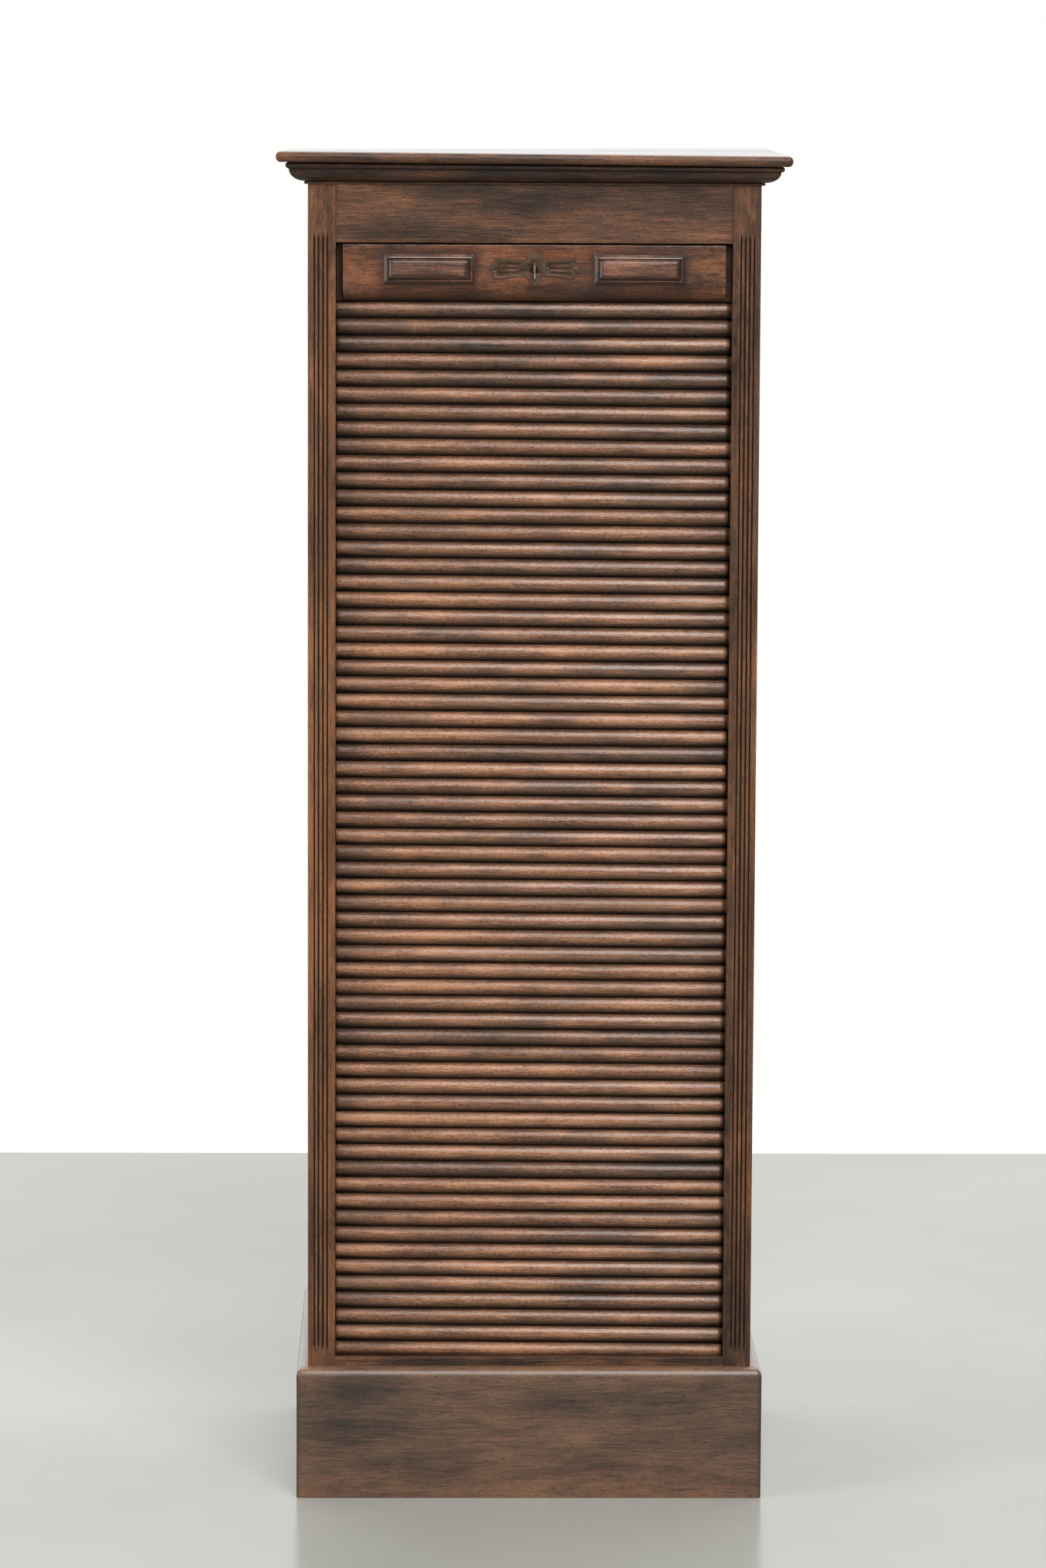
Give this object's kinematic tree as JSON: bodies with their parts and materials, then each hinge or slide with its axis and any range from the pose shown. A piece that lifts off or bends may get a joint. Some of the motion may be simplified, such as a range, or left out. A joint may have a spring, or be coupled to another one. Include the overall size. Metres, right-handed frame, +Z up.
{
  "type": "tambour door cabinet",
  "caption": "Narrow oak cabinet whose slatted tambour curtain slides down in side grooves and round behind fixed shelves, with a lockable lead rail.",
  "frame": {"origin": "on the floor, under the middle of the top board", "axes": "+X to the right as seen from the front, the front faces -Y, +Z up"},
  "size_m": [0.492, 0.4, 1.3],
  "materials": {
    "dark_oak": "dark stained oak, waxed to a low sheen",
    "plinth_oak": "darker stained oak, dull and rubbed",
    "worn_oak": "reddish stained oak, worn and waxed",
    "slat_oak": "stained oak slats, satin, worn lighter on the crests",
    "inner_oak": "plain unstained oak, dry and slightly dusty",
    "aged_brass": "brass browned with age, dull",
    "dark_iron": "dark oxidised iron",
    "steel": "bright handled steel"
  },
  "bodies": {
    "case": {"top_board": "dark_oak", "cornice_front": "dark_oak", "cornice_left": "dark_oak", "cornice_right": "dark_oak", "plinth_front": "plinth_oak", "plinth_left": "plinth_oak", "plinth_right": "plinth_oak", "side_board_left": "dark_oak", "side_board_right": "dark_oak", "stile_left": "dark_oak", "stile_right": "dark_oak", "frieze_rail": "dark_oak", "bottom_rail": "dark_oak", "back_panel": "inner_oak", "bottom_board": "inner_oak", "inner_top": "inner_oak", "inner_back": "inner_oak", "shelf_1": "inner_oak", "shelf_1_cleat_left": "inner_oak", "shelf_1_cleat_right": "inner_oak", "shelf_2": "inner_oak", "shelf_2_cleat_left": "inner_oak", "shelf_2_cleat_right": "inner_oak", "shelf_3": "inner_oak", "shelf_3_cleat_left": "inner_oak", "shelf_3_cleat_right": "inner_oak", "shelf_4": "inner_oak", "shelf_4_cleat_left": "inner_oak", "shelf_4_cleat_right": "inner_oak", "tambour_section_01": "slat_oak", "tambour_section_02": "slat_oak", "tambour_section_03": "slat_oak", "tambour_section_04": "slat_oak", "tambour_section_05": "slat_oak", "tambour_section_06": "slat_oak", "tambour_section_07": "slat_oak", "tambour_section_08": "slat_oak", "tambour_section_09": "slat_oak", "tambour_section_10": "slat_oak", "tambour_section_11": "slat_oak", "tambour_section_12": "slat_oak", "strike_plate": "aged_brass", "strike_screw_left": "dark_iron", "strike_screw_right": "dark_iron"},
    "door": {"lead_rail": "worn_oak", "handle_pad_left": "worn_oak", "handle_pad_right": "worn_oak", "escutcheon": "aged_brass", "escutcheon_pin_1": "dark_iron", "escutcheon_pin_2": "dark_iron", "escutcheon_pin_3": "dark_iron", "escutcheon_pin_4": "dark_iron", "lock_case": "dark_iron"},
    "key": {"key": "steel"},
    "beak_left": {"beak_left": "steel"},
    "beak_right": {"beak_right": "steel"}
  },
  "joints": [
    {"name": "door_slide", "type": "slide", "parent": "case", "child": "door", "axis": [0, 0, -1], "range_m": [0, 1.023], "deforming": ["tambour_section_01", "tambour_section_02", "tambour_section_03", "tambour_section_04", "tambour_section_05", "tambour_section_06", "tambour_section_07", "tambour_section_08", "tambour_section_09", "tambour_section_10", "tambour_section_11", "tambour_section_12"]},
    {"name": "key_turn", "type": "hinge", "parent": "door", "child": "key", "pos_m": [0, -0.165, 1.1905], "axis": [0, 1, 0], "range_deg": [0, 90]},
    {"name": "beak_left_turn", "type": "hinge", "parent": "door", "child": "beak_left", "pos_m": [-0.011, -0.15485, 1.2102], "axis": [0, 1, 0], "range_deg": [-98, 0]},
    {"name": "beak_right_turn", "type": "hinge", "parent": "door", "child": "beak_right", "pos_m": [0.011, -0.15485, 1.2102], "axis": [0, 1, 0], "range_deg": [0, 98]}
  ],
  "couplings": [
    {"joint": "beak_left_turn", "follows": "key_turn", "ratio": -1.0889},
    {"joint": "beak_right_turn", "follows": "key_turn", "ratio": 1.0889}
  ]
}
